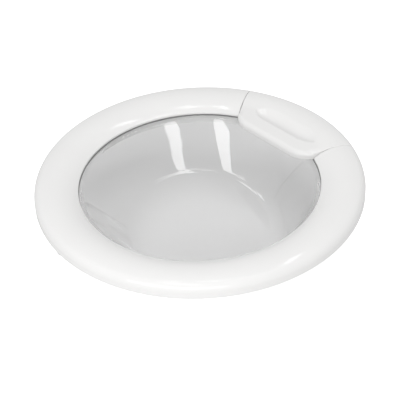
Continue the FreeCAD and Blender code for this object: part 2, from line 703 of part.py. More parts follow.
def make_latch_hook():
    body = new_body("latch_hook")
    section = new_sketch(body, "XZ_Plane")
    outline(section, (
        ("ear_in_x", "pivot_z"), ("pivot_x", "eye_top_z"), ("ear_out_x", "pivot_z"), ("hook_tail_x", "pivot_z"),
        ("hook_tail_x", "hook_tail_z"), ("hook_out_x", "hook_tail_z"), ("hook_out_x", "hook_nose_z"),
        ("hook_tip_x", "hook_nose_z"), ("hook_out_x", "hook_low_z"), ("hook_in_x", "hook_low_z"),
        ("hook_in_x", "hook_tail_z")), EYE_TOP)
    pad(body, section, "Sizes.hook_width", symmetric=True)
    cross_bore(body, "pivot_x", "pivot_z", "pivot_bore", "2 * Sizes.hook_width")
    return body


def make_hinge_door_leaf():
    body = new_body("hinge_door_leaf")
    plate = new_sketch(body, "XY_Plane", "leaf_low_z")
    outline(plate, (("leaf_outer_x", "leaf_low_y"), ("leaf_inner_x", "leaf_low_y"),
                    ("leaf_inner_x", "leaf_high_y"), ("leaf_outer_x", "leaf_high_y")))
    pad(body, plate, "Sizes.hinge_sheet")
    tongue = new_sketch(body, "XZ_Plane", "-hinge_y")
    outline(tongue, (("leaf_tongue_x", "leaf_low_z"), ("leaf_tongue_x", "leaf_top_z"),
                     ("leaf_foot_x", "leaf_top_z"), ("hinge_x", "tongue_high_z"),
                     ("hinge_x", "tongue_low_z"), ("leaf_foot_x", "leaf_low_z")))
    pad(body, tongue, "2 * Sizes.knuckle_half", symmetric=True)
    knuckle = new_sketch(body, "XZ_Plane", "-hinge_y")
    circle(knuckle, "hinge_x", "hinge_z", "knuckle_radius")
    pad(body, knuckle, "2 * Sizes.knuckle_half", symmetric=True)
    bore = new_sketch(body, "XZ_Plane")
    circle(bore, "hinge_x", "hinge_z", "hinge_bore")
    pocket(body, bore)
    holes = new_sketch(body, "XY_Plane")
    for y in ("hinge_screw_low_y", "hinge_screw_high_y"):
        circle(holes, "hinge_screw_x", y, "boss_bore")
    pocket(body, holes)
    return body


def make_hinge_cabinet_leaf():
    body = new_body("hinge_cabinet_leaf")
    plate = new_sketch(body, "XY_Plane", "cabinet_z")
    outline(plate, (("cabinet_outer_x", "cabinet_low_y"), ("cabinet_inner_x", "cabinet_low_y"),
                    ("cabinet_inner_x", "cabinet_high_y"), ("cabinet_outer_x", "cabinet_high_y")))
    pad(body, plate, "Sizes.hinge_sheet")
    for side in ("-ear_low_y", "-ear_high_y"):
        arm = new_sketch(body, "XZ_Plane", side)
        outline(arm, (("arm_left_x", "arm_low_z"), ("cabinet_outer_x", "cabinet_z"),
                      ("cabinet_arm_x", "cabinet_z"), ("cabinet_arm_x", "cabinet_top_z"),
                      ("arm_right_x", "arm_high_z")))
        pad(body, arm, "Sizes.hinge_sheet", symmetric=True)
        eye = new_sketch(body, "XZ_Plane", side)
        circle(eye, "hinge_x", "hinge_z", "ear_radius")
        pad(body, eye, "Sizes.hinge_sheet", symmetric=True)
    bore = new_sketch(body, "XZ_Plane")
    circle(bore, "hinge_x", "hinge_z", "bush_radius")
    pocket(body, bore)
    holes = new_sketch(body, "XY_Plane")
    for x in ("bolt_out_x", "bolt_in_x"):
        for y in ("bolt_low_y", "bolt_high_y"):
            circle(holes, x, y, "bolt_radius")
    pocket(body, holes)
    bevel_edges(body, "bolt_sink", lambda edge: (
        isinstance(edge.Curve, Part.Circle) and lies_at(edge, "cabinet_top_z")))
    return body


def make_hinge_bush(label, ear_side, flange_side):
    """A flanged bush pressed into one ear, its flange against the ear's inner face."""
    body = new_body(label)
    sleeve = new_sketch(body, "XZ_Plane", ear_side)
    circle(sleeve, "hinge_x", "hinge_z", "bush_outer")
    pad(body, sleeve, "Sizes.hinge_sheet", symmetric=True)
    flange = new_sketch(body, "XZ_Plane", flange_side)
    circle(flange, "hinge_x", "hinge_z", "bush_flange_radius")
    pad(body, flange, "Sizes.bush_flange", symmetric=True)
    bore = new_sketch(body, "XZ_Plane")
    circle(bore, "hinge_x", "hinge_z", "hinge_bore")
    pocket(body, bore)
    return body


def make_hinge_pin():
    body = new_body("hinge_pin")
    shank = new_sketch(body, "XZ_Plane", "-hinge_y")
    circle(shank, "hinge_x", "hinge_z", "hinge_pin_radius")
    pad(body, shank, "2 * Sizes.hinge_pin_half", symmetric=True)
    head = new_sketch(body, "XZ_Plane", "-hinge_head_y")
    circle(head, "hinge_x", "hinge_z", "hinge_pin_head")
    pad(body, head, "Sizes.hinge_pin_head_height", symmetric=True)
    return body


def group(label, solids):
    """Like solids that share one node, lifted with the rest of the door."""
    feature = doc.addObject("Part::Feature", label)
    feature.Label = label
    feature.Shape = Part.makeCompound(solids)
    feature.setExpression("Placement.Base.z", "Sizes.opening_level")
    return feature


def make_frame_screws():
    """Pan-head screws, driven from behind through the rear ring into the front ring's bosses."""
    up = FreeCAD.Vector(0, 0, 1)
    count = int(size("boss_count"))
    start = size("boss_start_angle")
    screws = []
    for number in range(count):
        turn = math.radians(start + number * size("boss_arc") / (count - 1))
        foot = FreeCAD.Vector(math.cos(turn), math.sin(turn), 0) * size("boss_ring_radius")
        foot.z = size("rear_z") - size("seat_clearance")
        shank = Part.makeCylinder(size("screw_radius"), size("screw_length"), foot, up)
        head = Part.makeCylinder(size("screw_head_radius"), size("screw_head_height"), foot, -up)
        screws.append(shank.fuse(head).removeSplitter())
    return group("frame_screws", screws)


def make_hinge_screws():
    """Countersunk screws through the rear ring's floor into the hinge's door leaf."""
    up = FreeCAD.Vector(0, 0, 1)
    screws = []
    for y in ("hinge_screw_low_y", "hinge_screw_high_y"):
        foot = FreeCAD.Vector(size("hinge_screw_x"), size(y), size("rear_z"))
        shank = Part.makeCylinder(size("screw_radius"), size("hinge_screw_length"), foot, up)
        head = Part.makeCone(size("screw_head_radius"), size("screw_radius"), size("screw_sink"), foot, up)
        screws.append(shank.fuse(head).removeSplitter())
    return group("hinge_screws", screws)


def push_clip(foot, outwards, bore):
    """A push-on washer on a pin, from its foot outwards."""
    disc = Part.makeCylinder(size("clip_radius"), size("clip_width"), foot, outwards)
    return disc.cut(Part.makeCylinder(size(bore), size("clip_width"), foot, outwards))


def make_pin_clips():
    """Two clips that keep the handle's pin in its posts."""
    clips = []
    for side in (-1, 1):
        foot = FreeCAD.Vector(size("pivot_x"), side * size("clip_y"), size("pivot_z"))
        clips.append(push_clip(foot, FreeCAD.Vector(0, side, 0), "pivot_bore"))
    return group("pin_clips", clips)


def make_hinge_clip():
    """The clip on the free end of the hinge's pin."""
    foot = FreeCAD.Vector(size("hinge_x"), size("hinge_clip_y"), size("hinge_z"))
    return group("hinge_clip", [push_clip(foot, FreeCAD.Vector(0, -1, 0), "hinge_bore")])


def torsion_spring(label, start_y):
    """A coil round the handle's pin. From its first end a straight leg runs up to the handle, and from
    its last end a shorter one runs down, both along the coil's own slope."""
    coil, pitch = size("spring_coil"), size("spring_pitch")
    length = pitch * size("spring_turns")
    slope = FreeCAD.Vector(0, 2 * math.pi * coil, pitch).normalize()
    first = FreeCAD.Vector(coil, 0, 0)
    last = FreeCAD.Vector(coil, 0, length)
    leg_up = Part.makeLine(first - slope * size("spring_leg_up"), first)
    leg_down = Part.makeLine(last, last + slope * size("spring_leg_down"))
    spine = Part.Wire([leg_up] + Part.makeHelix(pitch, length, coil).Edges + [leg_down])
    section = Part.Wire(Part.makeCircle(size("spring_wire") / 2, leg_up.Vertexes[0].Point, slope))
    wound = spine.makePipeShell([section], True, True)
    wound.Placement = FreeCAD.Placement(FreeCAD.Vector(size("pivot_x"), start_y, size("pivot_z")),
                                        FreeCAD.Rotation(FreeCAD.Vector(1, 0, 0), -90))
    return group(label, wound.Solids)


def make_all():
    parts = [make_outer_frame(), make_inner_frame(), make_door_glass(), make_glass_gasket(), make_handle(),
             make_handle_pin(), make_pin_clips(), make_latch_hook(), make_hinge_door_leaf(),
             make_hinge_cabinet_leaf(), make_hinge_pin(), make_hinge_clip(), make_frame_screws(),
             make_hinge_screws()]
    parts.append(make_hinge_bush("hinge_bush_upper", "-ear_high_y", "-bush_high_y"))
    parts.append(make_hinge_bush("hinge_bush_lower", "-ear_low_y", "-bush_low_y"))
    parts.append(torsion_spring("handle_spring", size("handle_spring_y")))
    parts.append(torsion_spring("hook_spring", size("hook_spring_y")))
    doc.recompute()
    return parts


def check(parts):
    """Stops on any feature that failed and on any empty or faulty solid."""
    for thing in doc.Objects:
        if {"Invalid", "Error"} & set(thing.State):
            raise ValueError("%s failed: %s" % (thing.Label, thing.State))
    for part in parts:
        if part.Shape.isNull() or not part.Shape.isValid() or not part.Shape.Solids:
            raise ValueError("%s has no sound solid" % part.Label)


def export(parts):
    os.makedirs("parts", exist_ok=True)
    for part in parts:
        part.Shape.exportStep("parts/%s.step" % part.Label)


fill_sheet()
pieces = make_all()
check(pieces)
export(pieces)
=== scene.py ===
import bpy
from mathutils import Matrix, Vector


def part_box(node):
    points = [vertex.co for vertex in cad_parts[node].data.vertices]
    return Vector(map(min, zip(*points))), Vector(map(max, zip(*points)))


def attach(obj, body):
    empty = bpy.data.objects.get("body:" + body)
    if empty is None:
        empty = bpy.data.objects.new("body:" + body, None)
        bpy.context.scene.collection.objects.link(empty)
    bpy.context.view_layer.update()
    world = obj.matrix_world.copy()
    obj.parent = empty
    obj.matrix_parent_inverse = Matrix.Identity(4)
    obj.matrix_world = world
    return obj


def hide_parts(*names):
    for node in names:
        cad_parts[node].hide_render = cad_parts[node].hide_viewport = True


bl_info = {
    "name": "Washing Machine Door",
    "version": (1, 0, 0),
    "blender": (4, 5, 0),
    "location": "View3D > Sidebar > Door",
    "description": "Dresses the porthole door of a front-loading washing machine and sets its stage",
    "category": "Object",
}

import math

import bmesh
import bpy
import numpy as np
from bpy.props import FloatProperty, FloatVectorProperty, PointerProperty
from bpy.types import Operator, Panel, PropertyGroup
from mathutils import Matrix, Vector

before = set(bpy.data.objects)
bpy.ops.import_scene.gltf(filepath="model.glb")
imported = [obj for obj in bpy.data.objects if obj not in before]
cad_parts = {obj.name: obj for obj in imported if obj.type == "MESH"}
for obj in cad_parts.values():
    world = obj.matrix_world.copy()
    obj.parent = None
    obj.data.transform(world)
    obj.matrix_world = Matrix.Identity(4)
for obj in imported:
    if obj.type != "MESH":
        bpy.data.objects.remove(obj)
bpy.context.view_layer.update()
RING_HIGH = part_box("outer_frame")[1]
GLASS_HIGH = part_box("door_glass")[1]
HANDLE_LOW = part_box("handle")[0]
CREST_RISE = 0.0125
OPENING_LEVEL = RING_HIGH.z - CREST_RISE

# Columns of the grids, and the closer ones at both ends of a grid whose ends are rounded.
RING_COLUMNS = 300
HANDLE_COLUMNS = 150
GLASS_COLUMNS = 400
END_COLUMNS = 12
# Points along the parts of the ring's and the handle's sections, outside and inside.
LIP_POINTS, LIP_ROUND_POINTS = 4, 9
CREST_POINTS, CREST_IN_POINTS, CREST_BACK_POINTS = 40, 20, 8
ROLL_POINTS, ROLL_IN_POINTS = 24, 12
RIM_POINTS, RIM_ROUND_POINTS, RIM_IN_POINTS = 6, 6, 4
# Points along a column of the grip: into the scoop, up its edge, along the top, round the front edge, down
# the flank, round its lower edge and back underneath.
SCOOP_POINTS, BRIM_POINTS, TOP_POINTS, FRONT_POINTS = 44, 6, 9, 12
FLANK_POINTS, TOE_POINTS, UNDER_POINTS = 5, 6, 30
# Points along a column of the glass.
FLANGE_POINTS, FLARE_POINTS, WALL_POINTS, FILLET_POINTS, FLOOR_POINTS = 6, 18, 16, 26, 12
# Points nearer than this are one point, and shorter normals aren't brought to unit length.
SAME_POINT = 1e-6
NO_LENGTH = 1e-12
# Height that stands for no floor at all, well above the door.
OUT_OF_REACH = 1.0
# How far behind the crest the handle's columns leave their rays, and run straight to the grip's front.
STRAIGHT_FROM = 0.004
# The most of its flank's height that the grip's rounded edge may take.
ROUND_SHARE = 0.6
# Rounds in which a column's crossing with the scoop's bent edge is worked out.
BRIM_ROUNDS = 6


def length(name, default, description):
    """A length in metres that a user may change."""
    return FloatProperty(name=name, default=default, description=description, unit="LENGTH", precision=5)


def angle(name, degrees, description):
    """An angle that a user may change, given in degrees."""
    return FloatProperty(name=name, default=math.radians(degrees), description=description, subtype="ANGLE")


def colour(name, default, description):
    """A colour that a user may change."""
    return FloatVectorProperty(name=name, default=default, description=description, subtype="COLOR",
                               size=4, min=0.0, max=1.0)


class DoorSizes(PropertyGroup):
    """Sizes of the visible mouldings and of the glass; levels are counted from the opening's edge."""
    opening_level: length("Opening level", OPENING_LEVEL, "Height of the opening's edge above the floor")
    opening_radius: length("Opening radius", 0.167, "Radius of the front opening")
    ring_radius: length("Ring radius", RING_HIGH.y, "Outer radius of the front ring")
    crest_radius: length("Crest radius", 0.203, "Radius at the top of the ring's dome")
    crest_rise: length("Crest rise", CREST_RISE, "Height of the crest above the opening's edge")
    roll_angle: angle("Roll angle", 15, "Turn past the crest where the outer roll starts")
    rim_drop: length("Rim drop", 0.0105, "Depth of the ring's outer rim")
    rim_round: length("Rim round", 0.0008, "Rounding of the ring's outer rim")
    front_wall: length("Front wall", 0.003, "Wall of the front ring")
    lip_depth: length("Lip depth", 0.0025, "Depth of the lip round the opening")
    lip_round: length("Lip round", 0.0014, "Rounding of the opening's edge")
    seam_half_angle: angle("Seam angle", 27, "Half of the arc that the handle takes from the ring")
    seam_gap: length("Seam gap", 0.0007, "Gap between the handle and the ring")
    seam_round: length("Seam round", 0.0008, "Rounding of the edges along the seams")
    grip_edge: length("Grip edge", HANDLE_LOW.x, "Distance of the grip's straight edge from the ring's axis")
    grip_corner: length("Grip corner", 0.034, "Rounding of the grip's corners in plan")
    grip_rise: length("Grip rise", 0.009, "Height of the grip's flat top")
    grip_round: length("Grip round", 0.007, "Rounding along the grip's edges")
    grip_fall: length("Grip fall", 0.010, "Run over which the grip's top comes down to the ring at the seams")
    grip_blend: length("Grip blend", 0.003, "Softness between the grip and the dome")
    handle_drop: length("Handle drop", 0.0024, "Depth of the handle's underside")
    scoop_edge: length("Scoop edge", 0.1575, "Distance of the scoop's sharp edge from the ring's axis")
    scoop_floor: length("Scoop floor", -0.0004, "Height of the scoop's lowest point")
    scoop_sweep: length("Scoop sweep", 0.0407, "Radius of the scoop's section")
    scoop_half: length("Scoop half", 0.061, "Half of the scoop's length")
    scoop_rise: length("Scoop rise", 0.0094, "How much higher the scoop's floor is at its ends")
    scoop_straight: length("Scoop straight", 0.032, "Half of the straight part of the scoop's sharp edge")
    scoop_turn: length("Scoop turn", 0.036, "Radius of the sharp edge's turns towards both ends")
    scoop_round: length("Scoop round", 0.0004, "Rounding of the scoop's sharp edge")
    glass_wall: length("Glass wall", 0.005, "Thickness of the glass")
    flange_drop: length("Flange drop", 0.0045, "Depth of the glass flange")
    flange_radius: length("Flange radius", GLASS_HIGH.x, "Outer radius of the glass flange")
    bowl_rim_radius: length("Bowl rim", 0.162, "Radius where the bowl leaves its flange")
    bowl_floor_radius: length("Bowl floor", 0.107, "Radius of the bowl's slanted floor")
    bowl_floor_drop: length("Bowl depth", 0.079, "Depth of the floor's middle")
    bowl_floor_shift: length("Floor shift", 0.0115, "Shift of the floor towards the deep side")
    bowl_floor_tilt: angle("Floor tilt", 16, "Slant of the floor")
    bowl_flare: length("Bowl flare", 0.006, "Rounding between the flange and the bowl")
    bowl_fillet: length("Bowl fillet", 0.022, "Rounding between the bowl's wall and its floor")
    bowl_spread: length("Bowl spread", 0.0035, "How much wider the bowl's outside is")
    bowl_root: length("Bowl root", 0.006, "Rounding under the flange")


class DoorFinishes(PropertyGroup):
    """Colours of the finishes."""
    white_gloss: colour("Gloss white", (0.878, 0.874, 0.868, 1), "Front ring and handle")
    white_satin: colour("Satin white", (0.82, 0.82, 0.815, 1), "Rear ring")
    clear_glass: colour("Clear glass", (0.95, 0.95, 0.95, 1), "Bowl")
    # The rubber's dark tone is partly painted shade: it is darkened to stand in for the shade in the gap
    # between ring and glass.
    grey_rubber: colour("Rubber", (0.22, 0.22, 0.22, 1), "Channel on the glass flange")
    plated_steel: colour("Plated steel", (0.62, 0.63, 0.65, 1), "Hinge leaves and screws")
    bright_steel: colour("Bright steel", (0.70, 0.71, 0.73, 1), "Pins, clips and hook")
    spring_steel: colour("Spring steel", (0.50, 0.51, 0.53, 1), "Springs")
    grey_plastic: colour("Grey plastic", (0.42, 0.43, 0.44, 1), "Bushes")
    floor: colour("Floor", (0.80, 0.80, 0.80, 1), "Floor under the door")


def arc(centre, radius, start, end, count):
    """Points of a circle's arc from one angle to another, in radians, as rows of two numbers."""
    turn = np.linspace(start, end, count)
    return np.array(centre) + radius * np.stack([np.cos(turn), np.sin(turn)], axis=-1)


def line(start, end, count):
    """Evenly spaced points from start to end, or from each of a row of starts to each of a row of ends."""
    share = np.linspace(0, 1, count)[:, None]
    start, end = np.asarray(start)[..., None, :], np.asarray(end)[..., None, :]
    return start * (1 - share) + end * share


def turned(profile, angles):
    """A profile of radius and height carried round the door's axis: x = r cos a, y = r sin a, z = h."""
    radius, height = profile.T
    return np.stack([np.outer(np.cos(angles), radius), np.outer(np.sin(angles), radius),
                     np.tile(height, (len(angles), 1))], axis=-1)


def grid_faces(rows, columns, wrap_rows=False, wrap_columns=False):
    """Quads of a grid whose points are numbered row by row; a wrapped direction closes on itself."""
    row = np.arange(rows if wrap_rows else rows - 1)[:, None]
    column = np.arange(columns if wrap_columns else columns - 1)[None, :]
    next_row, next_column = (row + 1) % rows, (column + 1) % columns
    corners = (row * columns + column, next_row * columns + column,
               next_row * columns + next_column, row * columns + next_column)
    return np.stack(np.broadcast_arrays(*corners), axis=-1).reshape(-1, 4).tolist()


def grid_normals(points):
    """Unit normals of a grid: the cross product of its steps along rows and along columns."""
    normal = np.cross(np.gradient(points, axis=0), np.gradient(points, axis=1))
    return normal / np.maximum(np.linalg.norm(normal, axis=-1, keepdims=True), NO_LENGTH)


def edge_drop(distance, radius):
    """How far a rounded edge lies below its surface: r - sqrt(r^2 - (r - d)^2) within r of the edge."""
    inside = np.clip(radius - distance, 0, radius)
    return radius - np.sqrt(np.maximum(radius ** 2 - inside ** 2, 0))


def corner_arc(corner, first, second, radius, count):
    """For each corner point, the arc that rounds the turn between two unit directions that leave it:
    its ends lie r / tan(half the angle) along them, and its centre r / sin(half the angle) between them."""
    half = np.arccos(np.clip((first * second).sum(-1), -1, 1)) / 2
    middle = first + second
    middle = middle / np.linalg.norm(middle, axis=-1, keepdims=True)
    centre = corner + middle * (radius / np.sin(half))[..., None]
    start = (corner + first * (radius / np.tan(half))[..., None] - centre) / radius
    finish = (corner + second * (radius / np.tan(half))[..., None] - centre) / radius
    sweep = (math.pi - 2 * half)[..., None, None]
    share = np.linspace(0, 1, count)[:, None]
    blend = (np.sin((1 - share) * sweep) * start[..., None, :] + np.sin(share * sweep) * finish[..., None, :])
    return centre[..., None, :] + radius * blend / np.sin(sweep)


def merge_doubles(piece):
    """Closes poles by joining points that lie on each other, and turns all faces outwards."""
    shape = bmesh.new()
    shape.from_mesh(piece.data)
    bmesh.ops.remove_doubles(shape, verts=shape.verts, dist=SAME_POINT)
    bmesh.ops.recalc_face_normals(shape, faces=shape.faces)
    shape.to_mesh(piece.data)
    shape.free()


def make_piece(name, body, material, points, faces, replaced, sharp=40):
    """Makes a grid of points with its faces one smooth closed mesh that rides on a body in place of CAD
    nodes. Edges that turn by more than sharp degrees stay crisp."""
    mesh = bpy.data.meshes.new(name)
    mesh.from_pydata(points.reshape(-1, 3).tolist(), [], faces)
    mesh.validate()
    mesh.shade_smooth()
    mesh.set_sharp_from_angle(angle=math.radians(sharp))
    mesh.materials.append(material)
    piece = bpy.data.objects.new(name, mesh)
    bpy.context.scene.collection.objects.link(piece)
    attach(piece, body)
    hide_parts(*replaced)
    merge_doubles(piece)


def dome_arcs(s, inset=0.0):
    """Centre and radius of the crest's arc and of the outer roll's arc, offset inwards by inset."""
    width = s.crest_radius - s.opening_radius
    crest = (width ** 2 + s.crest_rise ** 2) / (2 * s.crest_rise)
    centre = (s.crest_radius, s.crest_rise - crest)
    start_r = s.crest_radius + crest * math.sin(s.roll_angle)
    start_z = centre[1] + crest * math.cos(s.roll_angle)
    roll = (s.ring_radius - start_r) / (1 - math.sin(s.roll_angle))
    roll_centre = (s.ring_radius - roll, start_z - roll * math.cos(s.roll_angle))
    return centre, crest - inset, roll_centre, roll - inset


def ring_profile(s):
    """The front ring's closed section: up the lip, over its rounded edge, along the crest's arc and the
    outer roll, down to the rounded rim, and back along the same arcs one wall further in."""
    centre, crest, roll_centre, roll = dome_arcs(s)
    _, crest_in, _, roll_in = dome_arcs(s, s.front_wall)
    reach = crest - s.lip_round
    lip_x = s.opening_radius + s.lip_round
    lip_z = centre[1] + math.sqrt(reach ** 2 - (s.crest_radius - lip_x) ** 2)
    lip_turn = math.atan2(lip_z - centre[1], lip_x - centre[0])
    roll_turn = math.pi / 2 - s.roll_angle
    lip_out = s.opening_radius + s.front_wall
    root_turn = math.acos((lip_out - centre[0]) / crest_in)
    low, rim = -s.rim_drop, s.rim_round
    flank_in = s.ring_radius - s.front_wall
    return np.concatenate([
        line((s.opening_radius, -s.lip_depth), (s.opening_radius, lip_z), LIP_POINTS)[:-1],
        arc((lip_x, lip_z), s.lip_round, math.pi, lip_turn, LIP_ROUND_POINTS)[:-1],
        arc(centre, crest, lip_turn, roll_turn, CREST_POINTS)[:-1],
        arc(roll_centre, roll, roll_turn, 0, ROLL_POINTS)[:-1],
        line((s.ring_radius, roll_centre[1]), (s.ring_radius, low + rim), RIM_POINTS)[:-1],
        arc((s.ring_radius - rim, low + rim), rim, 0, -math.pi / 2, RIM_ROUND_POINTS),
        line((flank_in, low), (flank_in, roll_centre[1]), RIM_IN_POINTS)[:-1],
        arc(roll_centre, roll_in, 0, roll_turn, ROLL_IN_POINTS)[:-1],
        arc(centre, crest_in, roll_turn, root_turn, CREST_IN_POINTS),
        np.array([(lip_out, -s.lip_depth)])])


def lift(points, s):
    """Moves points from levels counted from the opening's edge to the door's own frame."""
    return points + np.array([0, 0, s.opening_level])


def round_ends(points, angles, first, last, radius):
    """Pulls a turned grid in along its normals near its first and last angle, so that the ends' edges
    are rounded."""
    reach = np.linalg.norm(points[..., :2], axis=-1)
    apart = np.minimum(np.abs(angles - first), np.abs(last - angles))[:, None] * reach
    return points + grid_normals(points) * edge_drop(apart, radius)[..., None]


def end_spread(first, last, count, near):
    """Numbers from first to last, even but for closer ones, at squared shares, near both ends."""
    share = near * np.linspace(0, 1, END_COLUMNS) ** 2
    return np.concatenate([first + share, np.linspace(first + near, last - near, count)[1:-1],
                           (last - share)[::-1]])


class DOOR_OT_front_ring(Operator):
    """Domed front ring, a section carried round the door's axis from one side of the handle to the other"""
    bl_idname = "door.front_ring"
    bl_label = "Front ring"

    def execute(self, context):
        s = context.scene.door_sizes
        first, last = s.seam_half_angle, 2 * math.pi - s.seam_half_angle
        angles = end_spread(first, last, RING_COLUMNS, s.seam_round / s.opening_radius)
        points = turned(ring_profile(s), angles)
        points = round_ends(points, angles, first, last, s.seam_round)
        rows, columns = points.shape[:2]
        faces = grid_faces(rows, columns, wrap_columns=True)
        faces += [list(range(columns)), list(range((rows - 1) * columns, rows * columns))[::-1]]
        make_piece("front_ring", "door", gloss_white(context), lift(points, s), faces,
                   replaced=["outer_frame"])
        return {"FINISHED"}


def soft_max(first, second, width):
    """The larger of two heights, rounded where they differ by less than width."""
    near = np.maximum(width - np.abs(first - second), 0) / width
    return np.maximum(first, second) + near ** 2 * width / 4


def soft_min(first, second, width):
    """The smaller of two heights, rounded where they differ by less than width."""
    return -soft_max(-first, -second, width)


def dome_height(s, radius, inset=0.0):
    """Height of the crest's arc at a radius: the circle through the opening's edge and the crest."""
    centre, crest, _, _ = dome_arcs(s, inset)
    return centre[1] + np.sqrt(np.maximum(crest ** 2 - (radius - centre[0]) ** 2, 0))


def scoop_height(s, x, y):
    """Floor of the finger scoop: a circle in each section across, whose radius gets smaller along Y by the
    fourth power of the share of the scoop's half length."""
    bow = s.scoop_sweep - s.scoop_rise * (y / s.scoop_half) ** 4
    across = bow ** 2 - (x - s.scoop_edge) ** 2
    floor = s.scoop_floor + s.scoop_sweep - np.sqrt(np.maximum(across, 0))
    return np.where((across > 0) & (bow > 0), floor, OUT_OF_REACH)


def scoop_brim(s, y):
    """Distance of the scoop's sharp edge from the ring's axis: straight, then a circle's arc to each end."""
    past = np.clip(np.abs(y) - s.scoop_straight, 0, s.scoop_half - s.scoop_straight)
    return s.scoop_edge + s.scoop_turn - np.sqrt(s.scoop_turn ** 2 - past ** 2)


def grip_outline(s, side_angle, share):
    """Point and inward normal of the grip's front outline, from one shoulder (-1) to the other (1):
    a corner's arc, the straight edge, and the other corner's arc, all at an even pace."""
    shoulder = s.opening_radius * np.array([math.cos(side_angle), math.sin(side_angle)])
    depth = shoulder[0] - s.grip_edge
    half = shoulder[1] - math.sqrt(2 * depth * s.grip_corner - depth ** 2)
    centre = np.array([s.grip_edge + s.grip_corner, half])
    sweep = math.pi - math.atan2(*(shoulder - centre)[::-1])
    along = np.abs(share) * (half + sweep * s.grip_corner)
    turn = math.pi - np.clip((along - half) / s.grip_corner, 0, sweep)
    x = centre[0] + s.grip_corner * np.cos(turn)
    y = np.minimum(along, half) + s.grip_corner * np.sin(turn)
    side = np.where(share < 0, -1.0, 1.0)
    return np.stack([x, side * y], axis=-1), np.stack([-np.cos(turn), -side * np.sin(turn)], axis=-1)


def seam_distance(side_angle, points):
    """Distance of points, seen in plan, from the nearer of the two radial seams: r sin(angle to the seam)."""
    turn = np.abs(np.arctan2(points[..., 1], points[..., 0]))
    return np.linalg.norm(points[..., :2], axis=-1) * np.sin(np.maximum(side_angle - turn, 0))


def grip_top(s, side_angle, plan):
    """Height of the grip's top without the scoop: the higher of the ring's dome and the grip's flat top,
    brought down to the dome near the seams by an ellipse."""
    ring = dome_height(s, np.maximum(np.linalg.norm(plan, axis=-1), s.opening_radius))
    near = np.clip(1 - seam_distance(side_angle, plan) / s.grip_fall, 0, 1)
    return ring + (soft_max(ring, s.grip_rise, s.grip_blend) - ring) * np.sqrt(1 - near ** 2)


def at_level(plan, height):
    """Points in plan with one height for all, or with one for each."""
    return np.concatenate([plan, np.broadcast_to(height, (len(plan),))[:, None]], axis=1)


def handle_back(s):
    """The handle's section behind its grip. Outside it runs from the rounded rim over the outer roll to a
    point behind the crest, and inside from the roll's start back down to the rim."""
    centre, crest, roll_centre, roll = dome_arcs(s)
    _, _, _, roll_in = dome_arcs(s, s.front_wall)
    roll_turn = math.pi / 2 - s.roll_angle
    last_turn = math.acos((s.crest_radius + STRAIGHT_FROM - centre[0]) / crest)
    rim, low = s.rim_round, -s.rim_drop
    outside = np.concatenate([
        arc((s.ring_radius - rim, low + rim), rim, -math.pi / 2, 0, RIM_ROUND_POINTS)[:-1],
        line((s.ring_radius, low + rim), (s.ring_radius, roll_centre[1]), RIM_POINTS)[:-1],
        arc(roll_centre, roll, 0, roll_turn, ROLL_POINTS)[:-1],
        arc(centre, crest, roll_turn, last_turn, CREST_BACK_POINTS)])
    inside = np.concatenate([
        arc(roll_centre, roll_in, roll_turn, 0, ROLL_IN_POINTS),
        np.array([(s.ring_radius - s.front_wall, low)])])
    return outside, inside


def handle_columns(s, side_angle):
    """Plan of the handle's columns: each one's ray, the point where it leaves the ray, its point on the
    scoop's sharp edge, and its point on the grip's front outline with the inward normal there."""
    share = end_spread(-1.0, 1.0, HANDLE_COLUMNS, s.grip_fall / (s.opening_radius * side_angle))
    turn = share * side_angle
    ray = np.stack([np.cos(turn), np.sin(turn)], axis=-1)
    begin = ray * (s.crest_radius + STRAIGHT_FROM)
    front, normal = grip_outline(s, side_angle, share)
    ahead = front - begin
    edge = front
    for _ in range(BRIM_ROUNDS):
        edge = begin + ahead * ((scoop_brim(s, edge[:, 1]) - begin[:, 0]) / ahead[:, 0])[:, None]
    return ray, begin, edge, front, normal


